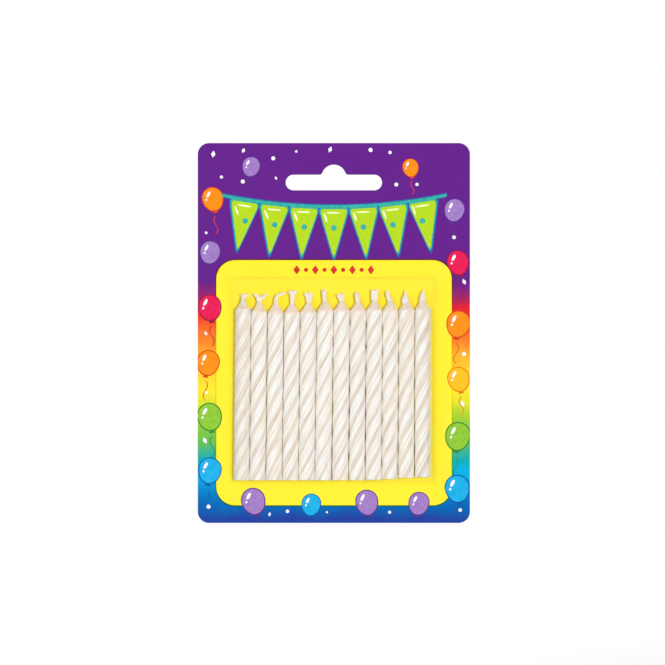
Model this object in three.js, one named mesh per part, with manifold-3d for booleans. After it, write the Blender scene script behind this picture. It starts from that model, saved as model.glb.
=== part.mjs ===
import * as THREE from 'three'
import { mergeVertices } from 'three/addons/utils/BufferGeometryUtils.js'
import Module from 'manifold-3d'

const wasm = await Module()
wasm.setup()

// A carded pack of spiral birthday candles, in millimetres, +Z up.
// The printed face looks along -Y. The origin is the middle of the hang slot, on the card's back.

// Candle: a round stick with twisted ribs, a plain cone on top and a bore for its wick
const candleDiameter = 5.3
const bodyHeight = 56.4
const coneHeight = 2.7
const coneTopDiameter = 1.8
const shoulderWidth = 0.08 // the flat step from the grooves in to the foot of the cone
const ribCount = 4
const ribShare = 0.52 // of one rib and groove, how much is rib
const grooveDepth = 0.22
const helixLead = 29.7 // height in which a rib goes once round
const ringsPerTurn = 12

// Wick: a cord through the whole candle, whose tips stand out above the cone
const wickDiameter = 1.2
const wickClearance = 0.08 // all round, between the wick and its bore
const wickFree = 4.3 // height of the longest wick above its cone
const loneStrand = 0.92 // diameter of a tip in one strand, as a share of the wick
const forkStrand = 0.76 // and of each strand of a frayed tip
const strandTaper = 0.15 // of its radius, from its root to its tip
const wickSides = 8
const boreSides = 12
const tipSteps = 7

// Row of candles
const candleGap = 0.1764 // between neighbours, were the feet evenly spaced
const rowShift = 0.57 // the row lies this far left of the pocket's middle

// Clear cover: a thin pocket open at the back, with a flat flange that is sealed to the card
const filmThickness = 0.3
const sideClearance = 0.35
const footClearance = 0.3 // under the candles
const headClearance = 0.8 // over the longest wick, when its candle has slid up
const endPlay = 3 // how far a candle can slide up
const depthClearance = 0.3 // behind and in front of the candles
const draftAngle = THREE.MathUtils.degToRad(4)
const pocketEdgeRadius = 0.9
const pocketCornerRadius = 0.7
const flangeWidth = 4.5
const flangeCornerRadius = 5
const cornerSteps = 4
const edgeSteps = 2

// Card: board laid out round the cover, with a euro slot in its head
const cardThickness = 0.45
const sideMargin = 6.6
const footMargin = 9
const headMargin = 40.1
const cardCornerRadius = 3.8
const slotLength = 32.2
const slotHeight = 5.2
const slotBelowTop = 13.2 // from the card's top edge to the slot's middle line
const bumpRadius = 4.1
const bumpHeight = 3.35 // the bump's top above the slot's upper edge
const bumpFillet = 1

// Each candle, from left to right: how far its foot stands right of its even place, its lean to the right
// in degrees, how far it has slid up and how much longer it is cut than bodyHeight, the turn of its ribs
// in degrees, and the strands of its wick tip.
// A strand is a run of points to the right and up from the cone, in shares of wickFree.
const candles = [
  { aside: -0.11, lean: 0.52, lift: 0, longer: 0.9, turn: -30,
    strands: [[[-0.02, 0.17], [0.1, 0.31], [0.41, 0.34]]] },
  { aside: -0.23, lean: 0.55, lift: 0, longer: 0, turn: 0,
    strands: [[[0.08, 0.23], [0.22, 0.41], [0.54, 0.63]], [[-0.07, 0.23], [-0.14, 0.43], [-0.3, 0.63]]] },
  { aside: -0.23, lean: 0.58, lift: 0, longer: -0.35, turn: -19,
    strands: [[[0, 0.3], [0.06, 0.53], [0.33, 0.74], [0.72, 0.86]]] },
  { aside: -0.31, lean: 0.67, lift: 0, longer: -0.4, turn: 28,
    strands: [[[-0.02, 0.28], [-0.05, 0.7], [-0.19, 0.94]], [[0.04, 0.28], [0.07, 0.7], [0.22, 0.95]]] },
  { aside: -0.36, lean: 0.72, lift: 0, longer: -0.2, turn: -28,
    strands: [[[-0.07, 0.28], [-0.23, 0.77]], [[0.11, 0.28], [0.18, 0.77]]] },
  { aside: -0.3, lean: 0.73, lift: 0, longer: 0.3, turn: 10,
    strands: [[[-0.06, 0.25], [-0.1, 0.52], [-0.09, 0.99]]] },
  { aside: -0.08, lean: 0.57, lift: 0, longer: 0.3, turn: 39,
    strands: [[[-0.12, 0.2], [-0.35, 0.55]], [[0.04, 0.2], [0.07, 0.56]]] },
  { aside: 0.03, lean: 0.42, lift: 0, longer: 0.25, turn: 42,
    strands: [[[-0.06, 0.21], [-0.1, 0.69]]] },
  { aside: 0.07, lean: 0.34, lift: 0.15, longer: 0.35, turn: -32,
    strands: [[[-0.12, 0.18], [-0.15, 0.5], [-0.18, 0.87]], [[0.12, 0.18], [0.15, 0.5], [0.2, 0.87]]] },
  { aside: 0.01, lean: 0.33, lift: 0.4, longer: 0, turn: -5,
    strands: [[[-0.1, 0.18], [-0.2, 0.41], [-0.26, 0.77]]] },
  { aside: 0.01, lean: 0.23, lift: 0.75, longer: -0.2, turn: 30,
    strands: [[[-0.09, 0.17], [-0.13, 0.46], [-0.11, 0.77]], [[-0.18, 0.12], [-0.18, 0.3]]] },
  { aside: 0.03, lean: 0.09, lift: 0.95, longer: -0.1, turn: 17,
    strands: [[[-0.02, 0.2], [0.06, 0.72]]] }
]

// Sizes that follow from those above
const candleRadius = candleDiameter / 2
const candleHeight = bodyHeight + coneHeight
const wickRadius = wickDiameter / 2
const candlePitch = candleDiameter + candleGap
const rowWidth = (candles.length - 1) * candlePitch + candleDiameter

const pocketDepth = candleDiameter + 2 * depthClearance
const pocketWidth = rowWidth + 2 * (rowShift + sideClearance)
const pocketHeight = footClearance + candleHeight + wickFree + endPlay + headClearance
const wallSpread = pocketDepth * Math.tan(draftAngle) // from the front panel to the card
const flangeBeyond = filmThickness + wallSpread + flangeWidth
const flangeLength = pocketHeight + 2 * flangeBeyond

const cardWidth = pocketWidth + 2 * (flangeBeyond + sideMargin)
const cardHeight = headMargin + flangeLength + footMargin
const cardTop = slotBelowTop
const pocketFoot = cardTop - headMargin - flangeBeyond - pocketHeight
const candleFoot = pocketFoot + footClearance
const candleAxis = -(cardThickness + depthClearance + candleRadius)

const board = new THREE.MeshStandardMaterial({ color: '#6d2a90', roughness: 0.45, metalness: 0 })
const film = new THREE.MeshStandardMaterial({
  color: '#f4f8fa', roughness: 0.08, metalness: 0, transparent: true, opacity: 0.25
})
const wax = new THREE.MeshStandardMaterial({ color: '#f5f1e9', roughness: 0.42, metalness: 0 })
const cotton = new THREE.MeshStandardMaterial({ color: '#f3e8dc', roughness: 0.85, metalness: 0 })

// A closed skin over a run of rings with equally many points, each counter-clockwise from its far side
function loft(rings) {
  const count = rings[0].length
  const positions = []
  const index = []
  for (const ring of rings) {
    for (const point of ring) positions.push(point.x, point.y, point.z)
  }
  for (let r = 0; r + 1 < rings.length; r++) {
    for (let i = 0; i < count; i++) {
      const next = (i + 1) % count
      const low = r * count
      const high = low + count
      index.push(low + i, low + next, high + i)
      index.push(low + next, high + next, high + i)
    }
  }
  const firstMiddle = addMiddle(positions, rings[0])
  const lastMiddle = addMiddle(positions, rings[rings.length - 1])
  const last = (rings.length - 1) * count
  for (let i = 0; i < count; i++) {
    const next = (i + 1) % count
    index.push(firstMiddle, next, i)
    index.push(lastMiddle, last + i, last + next)
  }
  const geometry = new THREE.BufferGeometry()
  geometry.setAttribute('position', new THREE.Float32BufferAttribute(positions, 3))
  geometry.setIndex(index)
  return geometry
}

function addMiddle(positions, ring) {
  const middle = new THREE.Vector3()
  for (const point of ring) middle.add(point)
  middle.divideScalar(ring.length)
  positions.push(middle.x, middle.y, middle.z)
  return positions.length / 3 - 1
}

function solidOf(geometry) {
  const bare = geometry.clone()
  bare.deleteAttribute('normal')
  bare.deleteAttribute('uv')
  const merged = mergeVertices(bare)
  return new wasm.Manifold(new wasm.Mesh({
    numProp: 3,
    vertProperties: Float32Array.from(merged.attributes.position.array),
    triVerts: Uint32Array.from(merged.index.array)
  }))
}

function geometryOf(solid) {
  const mesh = solid.getMesh()
  const geometry = new THREE.BufferGeometry()
  geometry.setAttribute('position', new THREE.Float32BufferAttribute(mesh.vertProperties, 3))
  geometry.setIndex(new THREE.Uint32BufferAttribute(mesh.triVerts, 1))
  return geometry
}

function nodeMesh(name, geometry, material) {
  const flat = geometry.index ? geometry.toNonIndexed() : geometry
  flat.computeVertexNormals()
  const mesh = new THREE.Mesh(flat, material)
  mesh.name = name
  return mesh
}

// Card

function cardOutline() {
  const right = cardWidth / 2
  const left = -right
  const low = cardTop - cardHeight
  const r = cardCornerRadius
  const outline = new THREE.Shape()
  outline.moveTo(left + r, low)
  outline.lineTo(right - r, low)
  outline.absarc(right - r, low + r, r, -Math.PI / 2, 0, false)
  outline.lineTo(right, cardTop - r)
  outline.absarc(right - r, cardTop - r, r, 0, Math.PI / 2, false)
  outline.lineTo(left + r, cardTop)
  outline.absarc(left + r, cardTop - r, r, Math.PI / 2, Math.PI, false)
  outline.lineTo(left, low + r)
  outline.absarc(left + r, low + r, r, Math.PI, Math.PI * 1.5, false)
  return outline
}

// A slot with round ends, and a round bump on its upper edge that blends in by a fillet on each side
function euroSlot() {
  const end = slotHeight / 2
  const reach = slotLength / 2 - end
  const bumpMiddle = end + bumpHeight - bumpRadius
  const filletMiddle = end + bumpFillet
  const rise = filletMiddle - bumpMiddle
  const filletAside = Math.sqrt((bumpRadius + bumpFillet) ** 2 - rise ** 2)
  const join = Math.atan2(rise, filletAside)
  const slot = new THREE.Path()
  slot.moveTo(-reach, -end)
  slot.lineTo(reach, -end)
  slot.absarc(reach, 0, end, -Math.PI / 2, Math.PI / 2, false)
  slot.lineTo(filletAside, end)
  slot.absarc(filletAside, filletMiddle, bumpFillet, -Math.PI / 2, -Math.PI + join, true)
  slot.absarc(0, bumpMiddle, bumpRadius, join, Math.PI - join, false)
  slot.absarc(-filletAside, filletMiddle, bumpFillet, -join, -Math.PI / 2, true)
  slot.lineTo(-reach, end)
  slot.absarc(-reach, 0, end, Math.PI / 2, Math.PI * 1.5, false)
  return slot
}

function hangCard() {
  const outline = cardOutline()
  outline.holes.push(euroSlot())
  const geometry = new THREE.ExtrudeGeometry(outline, {
    depth: cardThickness, bevelEnabled: false, curveSegments: 8
  })
  const card = nodeMesh('hang_card', geometry, board)
  card.rotation.x = Math.PI / 2
  return card
}

// Cover, drawn as seen from the front: x to the right, y up, z out from the card's back

function roundedLoop(beyond, cornerRadius, depth) {
  const halfWidth = pocketWidth / 2 + beyond
  const top = pocketFoot + pocketHeight + beyond
  const low = pocketFoot - beyond
  const corners = [
    [halfWidth - cornerRadius, top - cornerRadius],
    [cornerRadius - halfWidth, top - cornerRadius],
    [cornerRadius - halfWidth, low + cornerRadius],
    [halfWidth - cornerRadius, low + cornerRadius]
  ]
  const points = []
  corners.forEach(([x, y], corner) => {
    for (let step = 0; step <= cornerSteps; step++) {
      const angle = (corner + step / cornerSteps) * Math.PI / 2
      points.push(new THREE.Vector3(
        x + cornerRadius * Math.cos(angle), y + cornerRadius * Math.sin(angle), depth))
    }
  })
  return points
}

// One face of the pocket's film, from its front panel back to backDepth.
// Its skin is 0 on the inside and the film's thickness on the outside.
function pocketFace(skin, backDepth) {
  const front = cardThickness + pocketDepth + skin
  const edge = pocketEdgeRadius - filmThickness + skin
  const loops = []
  for (let step = 0; step <= edgeSteps; step++) {
    const angle = step / edgeSteps * Math.PI / 2
    const beyond = skin - edge * (1 - Math.sin(angle))
    loops.push(roundedLoop(beyond, pocketCornerRadius + beyond, front - edge * (1 - Math.cos(angle))))
  }
  const foot = skin + (front - edge - backDepth) * Math.tan(draftAngle)
  loops.push(roundedLoop(foot, pocketCornerRadius + foot, backDepth))
  return loops
}

function blisterCover() {
  const flangeFront = cardThickness + filmThickness
  const geometry = loft([
    ...pocketFace(0, cardThickness),
    roundedLoop(flangeBeyond, flangeCornerRadius, cardThickness),
    roundedLoop(flangeBeyond, flangeCornerRadius, flangeFront),
    ...pocketFace(filmThickness, flangeFront).reverse()
  ])
  const cover = nodeMesh('blister_cover', geometry, film)
  cover.rotation.x = Math.PI / 2
  return cover
}

// Candles, each drawn about its own axis from its foot up

// A ring of ribs and grooves: three points over each rib, one in the middle of each groove
function flutedRing(height, turn, ribRadius, grooveRadius) {
  const twist = turn + 2 * Math.PI * height / helixLead
  const flute = [[-ribShare / 2, ribRadius], [0, ribRadius], [ribShare / 2, ribRadius], [0.5, grooveRadius]]
  const points = []
  for (let rib = 0; rib < ribCount; rib++) {
    for (const [along, radius] of flute) {
      const angle = (rib + along) * 2 * Math.PI / ribCount + twist
      points.push(new THREE.Vector3(radius * Math.cos(angle), radius * Math.sin(angle), height))
    }
  }
  return points
}

// A ring of the cone, whose points lie over those of the shoulder
function coneRing(shoulder, height, radius, turn) {
  return flutedRing(shoulder, turn, radius, radius).map(point => point.setZ(height))
}

function waxBody(shoulder, turn) {
  const grooveRadius = candleRadius - grooveDepth
  const rings = []
  const ringCount = Math.ceil(shoulder / helixLead * ringsPerTurn)
  for (let r = 0; r <= ringCount; r++) {
    rings.push(flutedRing(shoulder * r / ringCount, turn, candleRadius, grooveRadius))
  }
  rings.push(coneRing(shoulder, shoulder, grooveRadius - shoulderWidth, turn))
  rings.push(coneRing(shoulder, shoulder + coneHeight, coneTopDiameter / 2, turn))
  return solidOf(loft(rings)).subtract(boreTool(shoulder + coneHeight))
}

// Longer than the candle at both ends, so that the bore goes right through
function boreTool(coneTop) {
  const boreRadius = wickRadius + wickClearance
  const tool = new THREE.CylinderGeometry(boreRadius, boreRadius, 2 * coneTop, boreSides)
  tool.rotateX(Math.PI / 2)
  tool.translate(0, 0, coneTop / 2)
  return solidOf(tool)
}

function wickStem(coneTop) {
  const height = coneTop + wickRadius
  const stem = new THREE.CylinderGeometry(wickRadius, wickRadius, height, wickSides)
  stem.rotateX(Math.PI / 2)
  stem.translate(0, 0, height / 2)
  return solidOf(stem)
}

// A tapering strand, which starts inside the stem and follows its points
function wickStrand(coneTop, points, radius) {
  const route = new THREE.CatmullRomCurve3([
    new THREE.Vector3(0, 0, coneTop - wickDiameter),
    new THREE.Vector3(0, 0, coneTop),
    ...points.map(([aside, up]) => new THREE.Vector3(aside * wickFree, 0, coneTop + up * wickFree))
  ])
  const rings = []
  for (let step = 0; step <= tipSteps; step++) {
    const middle = route.getPoint(step / tipSteps)
    const along = route.getTangent(step / tipSteps)
    const aside = new THREE.Vector3(along.z, 0, -along.x)
    const reach = radius * (1 - strandTaper * step / tipSteps)
    const ring = []
    for (let side = 0; side < wickSides; side++) {
      const angle = (side + 0.5) * 2 * Math.PI / wickSides
      const point = middle.clone().addScaledVector(aside, reach * Math.cos(angle))
      point.y += reach * Math.sin(angle)
      ring.push(point)
    }
    rings.push(ring)
  }
  return solidOf(loft(rings))
}

function wick(coneTop, strands) {
  const radius = wickRadius * (strands.length > 1 ? forkStrand : loneStrand)
  return strands.reduce((whole, points) => whole.add(wickStrand(coneTop, points, radius)), wickStem(coneTop))
}

function candle({ aside, lean, lift, longer, turn, strands }, place) {
  const number = String(place + 1).padStart(2, '0')
  const shoulder = bodyHeight + longer
  const waxSolid = waxBody(shoulder, THREE.MathUtils.degToRad(turn))
  const group = new THREE.Group()
  group.add(nodeMesh(`candle_wax_${number}`, geometryOf(waxSolid), wax))
  group.add(nodeMesh(`candle_wick_${number}`, geometryOf(wick(shoulder + coneHeight, strands)), cotton))
  const evenPlace = candleRadius - rowWidth / 2 - rowShift + place * candlePitch
  group.position.set(evenPlace + aside, candleAxis, candleFoot + lift)
  group.rotation.y = THREE.MathUtils.degToRad(lean)
  return group
}

const pack = new THREE.Group()
pack.add(hangCard())
pack.add(blisterCover())
candles.forEach((each, place) => pack.add(candle(each, place)))

export default pack
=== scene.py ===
import math
import random
import bpy
from mathutils import Matrix, Vector


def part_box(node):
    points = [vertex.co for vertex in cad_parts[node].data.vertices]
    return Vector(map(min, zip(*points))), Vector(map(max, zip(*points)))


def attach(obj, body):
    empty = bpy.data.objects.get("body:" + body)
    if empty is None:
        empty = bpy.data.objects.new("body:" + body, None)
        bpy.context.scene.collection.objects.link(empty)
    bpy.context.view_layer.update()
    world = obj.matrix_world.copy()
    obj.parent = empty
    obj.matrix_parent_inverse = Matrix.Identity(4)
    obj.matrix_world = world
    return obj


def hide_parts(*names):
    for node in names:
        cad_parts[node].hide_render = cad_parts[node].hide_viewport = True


# A carded pack of spiral birthday candles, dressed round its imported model.
# Metres, +Z up, the printed face looks along -Y, and the origin is the middle of the hang slot.

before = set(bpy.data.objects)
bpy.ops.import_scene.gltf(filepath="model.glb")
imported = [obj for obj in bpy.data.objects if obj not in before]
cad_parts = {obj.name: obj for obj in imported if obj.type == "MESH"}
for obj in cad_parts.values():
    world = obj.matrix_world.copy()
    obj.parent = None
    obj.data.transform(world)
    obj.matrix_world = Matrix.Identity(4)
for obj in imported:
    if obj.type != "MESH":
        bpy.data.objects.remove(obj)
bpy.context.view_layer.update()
mm = 0.001
tiny = 0.01 * mm
candleCount = sum(name.startswith("candle_wax_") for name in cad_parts)

cardLow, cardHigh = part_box("hang_card")
cardFront = cardLow.y
cardMiddle = (cardLow.z + cardHigh.z) / 2


# Handling

def clearSelection():
    if bpy.context.object and bpy.context.object.mode != "OBJECT":
        bpy.ops.object.mode_set(mode="OBJECT")
    bpy.ops.object.select_all(action="DESELECT")


def takeUp(*pieces):
    clearSelection()
    for piece in pieces:
        piece.select_set(True)
    bpy.context.view_layer.objects.active = pieces[0]


# Opens edit mode on one piece, with only the corners, edges or faces picked that wanted() says
def openEdit(piece, level, wanted):
    takeUp(piece)
    mesh = piece.data
    for part in (mesh.vertices, mesh.edges, mesh.polygons):
        part.foreach_set("select", [False] * len(part))
    if level == "VERT":
        for corner in mesh.vertices:
            corner.select = wanted(corner.co)
    elif level == "EDGE":
        for edge in mesh.edges:
            edge.select = wanted(*(mesh.vertices[i].co for i in edge.vertices))
    else:
        for face in mesh.polygons:
            face.select = wanted(face.center, face.normal)
    bpy.context.tool_settings.mesh_select_mode = tuple(level == kind for kind in ("VERT", "EDGE", "FACE"))
    bpy.ops.object.mode_set(mode="EDIT")


def closeEdit():
    bpy.ops.object.mode_set(mode="OBJECT")


# Scales the corners that wanted() picks, from one point
def resizeCorners(piece, wanted, value, centre=(0, 0, 0)):
    openEdit(piece, "VERT", wanted)
    bpy.ops.transform.resize(value=value, center_override=centre)
    closeEdit()


# Rounds the corners or edges that wanted() picks
def roundOff(piece, level, wanted, offset, segments):
    openEdit(piece, level, wanted)
    bpy.ops.mesh.bevel(offset=offset, segments=segments, affect="VERTICES" if level == "VERT" else "EDGES")
    closeEdit()


def everything(*_):
    return True


# A new form by one of the operators that add one
def addForm(operator, **settings):
    clearSelection()
    operator(**settings)
    return bpy.context.object


def newObject(name, data):
    piece = bpy.data.objects.new(name, data)
    bpy.context.scene.collection.objects.link(piece)
    return piece


def applyModifier(piece, kind, settings):
    takeUp(piece)
    modifier = piece.modifiers.new(kind.title(), kind)
    for name, value in settings.items():
        setattr(modifier, name, value)
    bpy.ops.object.modifier_apply(modifier=modifier.name)


def joinPieces(pieces):
    takeUp(*pieces)
    if len(pieces) > 1:
        bpy.ops.object.join()
    return pieces[0]


def smoothBelow(piece, degrees):
    takeUp(piece)
    bpy.ops.object.shade_smooth_by_angle(angle=math.radians(degrees))


# Bakes where a piece stands, its turn and its size into its corners
def settle():
    bpy.ops.object.transform_apply(location=True, rotation=True, scale=True)


# A merged copy of a node's mesh with softened edges, beside which its big flat faces stay flat
def softCopy(node, width, sharp, smooth):
    piece = newObject(node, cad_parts[node].data.copy())
    piece.data.materials.clear()
    openEdit(piece, "VERT", everything)
    bpy.ops.mesh.remove_doubles(threshold=0.001 * mm)
    bpy.ops.mesh.dissolve_limited(angle_limit=math.radians(0.5))
    closeEdit()
    applyModifier(piece, "BEVEL", {"width": width, "segments": 2, "angle_limit": math.radians(sharp)})
    smoothBelow(piece, smooth)
    applyModifier(piece, "WEIGHTED_NORMAL", {"keep_sharp": True, "weight": 90})
    return piece


def finishPiece(piece, name, body, slot, materials, *nodes):
    piece.name = piece.data.name = name
    if materials:
        piece.data.materials.clear()
    for material in materials:
        piece.data.materials.append(material)
    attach(piece, body)
    if nodes:
        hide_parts(*nodes)


# Materials

def linear(hexColour):
    parts = [int(hexColour[i:i + 2], 16) / 255 for i in (1, 3, 5)]
    return (*(c / 12.92 if c <= 0.04045 else ((c + 0.055) / 1.055) ** 2.4 for c in parts), 1)


# Empties the nodes of a material or the world, and gives the function that adds nodes there
def startNodes(owner):
    owner.use_nodes = True
    tree = owner.node_tree
    tree.nodes.clear()

    # A node, its settings by name or socket, and its links from sockets or from nodes' first outputs
    def add(kind, settings=None, links=None):
        node = tree.nodes.new(kind)
        for name, value in (settings or {}).items():
            if isinstance(name, str) and hasattr(node, name):
                setattr(node, name, value)
            else:
                node.inputs[name].default_value = value
        for name, source in (links or {}).items():
            if isinstance(source, bpy.types.Node):
                source = source.outputs[0]
            tree.links.new(source, node.inputs[name])
        return node

    return add


# A new material, what adds its nodes, and the place on the object
def newMaterial(name):
    material = bpy.data.materials.new(name)
    add = startNodes(material)
    return material, add, add("ShaderNodeTexCoord").outputs["Object"]


def setSurface(add, kind, settings, links):
    add("ShaderNodeOutputMaterial", {}, {"Surface": add(kind, settings, links)})


# A ramp through (place, hex colour) stops
def addRamp(add, source, stops):
    ramp = add("ShaderNodeValToRGB", {}, {0: source})
    elements = ramp.color_ramp.elements
    for number, (place, colour) in enumerate(stops):
        element = elements[number] if number < 2 else elements.new(place)
        element.position = place
        element.color = linear(colour)
    return ramp


paperLook = {
    "mottle": 0.9 * mm,  # size of the faint clouds in a flat tint of ink
    "fibre": 0.18 * mm,  # paper fibres under the coating, drawn coarser than real to show
    "fibreDepth": 0.004 * mm,
    "fleck": 0.4 * mm,  # fibre flecks of the bare board
    "bareDepth": 0.012 * mm,
    "inkRoughness": 0.4,
    "inkGloss": 0.06,  # specular level: a thin water-based lacquer over the ink
}


# The paper's relief under coating and ink, as a normal
def addFibres(add, place, depth):
    fibres = add("ShaderNodeTexNoise", {"Scale": 1 / paperLook["fibre"], "Detail": 3}, {0: place})
    return add("ShaderNodeBump", {"Strength": 0.35, "Distance": depth}, {"Height": fibres})


# Ink of this tint in the paper's relief, under a thin satin lacquer
def setInkSurface(add, place, tint):
    relief = addFibres(add, place, paperLook["fibreDepth"])
    lacquer = {"Roughness": paperLook["inkRoughness"], "Specular IOR Level": paperLook["inkGloss"]}
    setSurface(add, "ShaderNodeBsdfPrincipled", lacquer, {"Base Color": tint, "Normal": relief})


# Offset ink on coated board: a flat tint that mottles a little
def offsetInk(name, colour, deeper):
    material, add, place = newMaterial(name)
    cloud = add("ShaderNodeTexNoise", {"Scale": 1 / paperLook["mottle"], "Detail": 4}, {0: place})
    setInkSurface(add, place, addRamp(add, cloud, [(0.35, deeper), (0.62, colour)]))
    return material


rainbow = {
    "cloud": 11 * mm,  # size of the soft airbrushed clouds that bend the colour bands
    "cloudHeight": 5 * mm,  # how far they push a band up or down
    "spatter": 0.5 * mm,  # size of the sprayed dots where two bands meet
    "spatterHeight": 3 * mm,
    # colours down the card, by their height in mm above the card's middle
    "bands": [
        (17, "#632389"), (12.6, "#92266f"), (10, "#b92350"), (8.2, "#dd2433"), (5.4, "#ec3224"),
        (1.8, "#f2602a"), (-3, "#f4862a"), (-8.4, "#f9b12e"), (-13.5, "#fbd038"), (-19, "#f9e536"),
        (-23.5, "#dde033"), (-27, "#b3d136"), (-32, "#84c441"), (-36.8, "#64bc52"), (-39.4, "#3fb08c"),
        (-42.4, "#0ba9b4"), (-46, "#09b0e2"), (-50.5, "#0597d8"), (-55.5, "#0573bc"), (-59, "#0761b0"),
        (-62, "#23429f")],
}


# The sheet's own print: a purple head that runs down through a rainbow to blue, darkened where another
# colour is printed over it
def rainbowPrint(name, over=None):
    material, add, place = newMaterial(name)
    spot = add("ShaderNodeSeparateXYZ", {}, {0: place})
    bent = spot.outputs["Z"]
    for size, reach, detail in (("cloud", "cloudHeight", 2), ("spatter", "spatterHeight", 1)):
        noise = add("ShaderNodeTexNoise", {"Scale": 1 / rainbow[size], "Detail": detail}, {0: place})
        most = rainbow[reach]
        push = add("ShaderNodeMath", {"operation": "MULTIPLY_ADD", 1: most, 2: -most / 2}, {0: noise})
        bent = add("ShaderNodeMath", {"operation": "ADD"}, {0: bent, 1: push})
    top, low = (cardMiddle + rainbow["bands"][end][0] * mm for end in (0, -1))
    down = add("ShaderNodeMapRange", {"From Min": top, "From Max": low}, {0: bent})
    first, last = rainbow["bands"][0][0], rainbow["bands"][-1][0]
    stops = [((first - height) / (first - last), colour) for height, colour in rainbow["bands"]]
    tint = addRamp(add, down, stops)
    if over:
        darker = {"data_type": "RGBA", "blend_type": "MULTIPLY", 0: 1, 7: linear(over)}
        tint = add("ShaderNodeMix", darker, {6: tint}).outputs[2]
    setInkSurface(add, place, tint)
    return material


# Uncoated back and cut edges of the board: warm white, matte, with visible fibre flecks
def bareBoard(name, pale, fleck):
    material, add, place = newMaterial(name)
    grain = {"Scale": 1 / paperLook["fleck"], "Detail": 6, "Roughness": 0.7}
    flecks = add("ShaderNodeTexNoise", grain, {0: place})
    tint = addRamp(add, flecks, [(0.28, fleck), (0.5, pale)])
    relief = addFibres(add, place, paperLook["bareDepth"])
    board = {"Roughness": 0.85, "Specular IOR Level": 0.3}
    setSurface(add, "ShaderNodeBsdfPrincipled", board, {"Base Color": tint, "Normal": relief})
    return material


waxCandle = {
    "radius": 2.66 * mm,
    "grooveDepth": 0.2 * mm,
    "ribs": 4,
    "ribShare": 0.44,  # of one rib and groove, how much is rib
    "lead": 29.7 * mm,  # height in which a rib goes once round
    "bodyHeight": 56.4 * mm,
    "footEdge": 0.14 * mm,  # rounding of the foot's edge
    "shoulderFall": 0.35 * mm,  # how far below the body's height the ribs end
    "shoulderEdge": 0.2 * mm,  # rounding of their ends
    "coneFoot": 2.38 * mm,  # radius
    "coneLift": 0.1 * mm,  # the cone's foot above the body's height
    # the cone, by height above the body's height and radius: it draws in a little before the wick
    "cone": [(0.9 * mm, 1.8 * mm), (1.9 * mm, 1.2 * mm), (2.5 * mm, 0.9 * mm), (2.7 * mm, 0.76 * mm)],
    # a candle's own cone width holds between these heights, within this share of its radius
    "coneReach": (0.05 * mm, 2.3 * mm, 0.93),
    "bore": 0.66 * mm,  # radius
    "pointsPerRib": 16,
    "rings": 110,
    "ribTone": "#fdfbf6",
    # a greyer tone painted at each groove's edges: painted shade, where the groove's wall slopes away from
    # the light
    "grooveEdgeShade": "#e7ddd1",
    "grooveTone": "#ece5d8",
    "coneTone": "#ffe4d4",
    "streak": 0.32 * mm,  # width of the streaks that run along the ribs
    "streakStretch": 0.04,  # their scale along the rib beside that across it
    "streakTone": "#ddd2c6",
    "streakShare": 0.7,
    "lotStep": 7.3,  # how far apart in the noise two candles' streaks are
    "ragged": 0.3,  # how far a rib's white strays, as a share of the groove's depth
    "collar": (0.65 * mm, 0.3 * mm),  # below the body's height, where the ribs' white fades out
    "collarRagged": 0.3 * mm,
    "grain": 0.6 * mm,
    "grainDepth": 0.02 * mm,
    "satin": (0.36, 0.56),  # roughness
    "glow": 0.8 * mm,  # how far light goes in the wax
    "bloom": 1,  # the pale bloom on its surface, seen where the surface turns away
    "bloomTone": "#fff5ea",
}


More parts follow.
